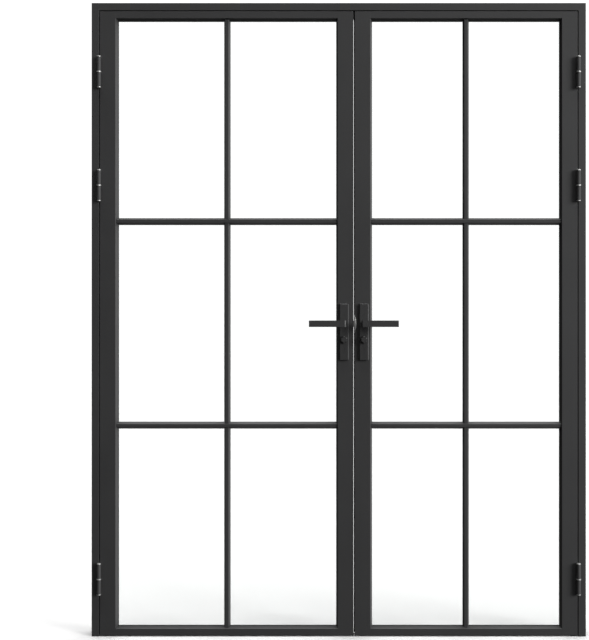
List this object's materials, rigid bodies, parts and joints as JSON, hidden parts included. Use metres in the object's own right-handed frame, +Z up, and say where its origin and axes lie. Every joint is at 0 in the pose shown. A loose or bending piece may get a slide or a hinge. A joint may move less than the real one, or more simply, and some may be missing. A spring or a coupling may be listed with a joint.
{
  "type": "glazed aluminium double door with frame",
  "caption": "Slim black aluminium double door with unequal leaves, clear glass divided by glazing bars, lever handles and barrel hinges, hung in a three-sided frame.",
  "frame": {"origin": "floor level, on the centre line of the frame, in the middle of the leaf thickness", "axes": "+X along the frame towards the passive leaf, +Y away from the side the leaves open to, +Z up"},
  "size_m": [1.615, 0.149, 2.07],
  "materials": {
    "frame_black": "powder coated, fine matt black",
    "leaf_black": "powder coated, fine matt black",
    "hinge_black": "powder coated steel",
    "handle_black": "matt black coating",
    "satin_steel": "satin",
    "zinc_steel": "zinc plated",
    "clear_glass": "clear toughened",
    "black_rubber": "matt",
    "brush_pile": "dense pile",
    "dark_plastic": "moulded"
  },
  "bodies": {
    "frame": {"left_jamb": "frame_black", "right_jamb": "frame_black", "head": "frame_black", "left_stop": "frame_black", "right_stop": "frame_black", "head_stop": "frame_black", "stop_seals": "black_rubber", "frame_cleats": "zinc_steel", "head_keep": "satin_steel", "left_frame_hinges": "hinge_black", "right_frame_hinges": "hinge_black", "hinge_pins": "satin_steel", "hinge_rings": "satin_steel"},
    "active_leaf": {"active_hinge_stile": "leaf_black", "active_lock_stile": "leaf_black", "active_top_rail": "leaf_black", "active_bottom_rail": "leaf_black", "active_glass": "clear_glass", "active_gaskets": "black_rubber", "active_beads": "leaf_black", "active_cross_bars": "leaf_black", "active_upright_bars": "leaf_black", "active_cleats": "zinc_steel", "active_setting_blocks": "dark_plastic", "active_brush": "brush_pile", "active_leaf_hinges": "hinge_black", "active_hinge_caps": "satin_steel", "active_lock_case": "zinc_steel", "active_forend": "satin_steel", "active_backplates": "handle_black", "active_plate_screws": "handle_black"},
    "passive_leaf": {"passive_hinge_stile": "leaf_black", "passive_lock_stile": "leaf_black", "passive_top_rail": "leaf_black", "passive_bottom_rail": "leaf_black", "passive_glass": "clear_glass", "passive_gaskets": "black_rubber", "passive_beads": "leaf_black", "passive_cross_bars": "leaf_black", "passive_upright_bars": "leaf_black", "passive_cleats": "zinc_steel", "passive_setting_blocks": "dark_plastic", "passive_brush": "brush_pile", "passive_leaf_hinges": "hinge_black", "passive_hinge_caps": "satin_steel", "passive_gear_case": "zinc_steel", "passive_strike": "satin_steel", "passive_backplates": "handle_black", "passive_plate_screws": "handle_black", "passive_bolt_guide": "dark_plastic"},
    "active_lever": {"active_levers": "handle_black", "active_spindle": "zinc_steel", "active_hub": "zinc_steel"},
    "active_latch": {"active_latch": "satin_steel"},
    "active_turn": {"active_turns": "handle_black"},
    "active_deadbolt": {"active_deadbolt": "satin_steel"},
    "passive_lever": {"passive_levers": "handle_black", "passive_spindle": "zinc_steel"},
    "passive_turn": {"passive_turns": "handle_black"},
    "passive_top_bolt": {"passive_top_bolt": "satin_steel"}
  },
  "joints": [
    {"name": "active_swing", "type": "hinge", "parent": "frame", "child": "active_leaf", "pos_m": [-0.782, -0.031, 0], "axis": [0, 0, -1], "range_deg": [0, 110]},
    {"name": "passive_swing", "type": "hinge", "parent": "frame", "child": "passive_leaf", "pos_m": [0.782, -0.031, 0], "axis": [0, 0, 1], "range_deg": [0, 110]},
    {"name": "active_lever_turn", "type": "hinge", "parent": "active_leaf", "child": "active_lever", "pos_m": [0.0175, 0, 1.022], "axis": [0, -1, 0], "range_deg": [0, 40], "stiffness_Nm_per_rad": 1.5, "springref_deg": -20.05},
    {"name": "active_latch_slide", "type": "slide", "parent": "active_leaf", "child": "active_latch", "axis": [-1, 0, 0], "range_m": [0, 0.01]},
    {"name": "active_thumb_turn", "type": "hinge", "parent": "active_leaf", "child": "active_turn", "pos_m": [0.0175, 0, 0.97], "axis": [0, -1, 0], "range_deg": [0, 90]},
    {"name": "active_deadbolt_slide", "type": "slide", "parent": "active_leaf", "child": "active_deadbolt", "axis": [1, 0, 0], "range_m": [0, 0.0099]},
    {"name": "passive_lever_turn", "type": "hinge", "parent": "passive_leaf", "child": "passive_lever", "pos_m": [0.0825, 0, 1.022], "axis": [0, 1, 0], "range_deg": [0, 40], "stiffness_Nm_per_rad": 1.5, "springref_deg": -20.05},
    {"name": "passive_bolt_slide", "type": "slide", "parent": "passive_leaf", "child": "passive_top_bolt", "axis": [0, 0, -1], "range_m": [0, 0.014]},
    {"name": "passive_thumb_turn", "type": "hinge", "parent": "passive_leaf", "child": "passive_turn", "pos_m": [0.0825, 0, 0.97], "axis": [0, 1, 0], "range_deg": [0, 90]}
  ],
  "couplings": [
    {"joint": "active_latch_slide", "follows": "active_lever_turn", "m_per_rad": 0.01432},
    {"joint": "active_deadbolt_slide", "follows": "active_thumb_turn", "m_per_rad": 0.0063},
    {"joint": "passive_bolt_slide", "follows": "passive_lever_turn", "m_per_rad": 0.02005}
  ]
}
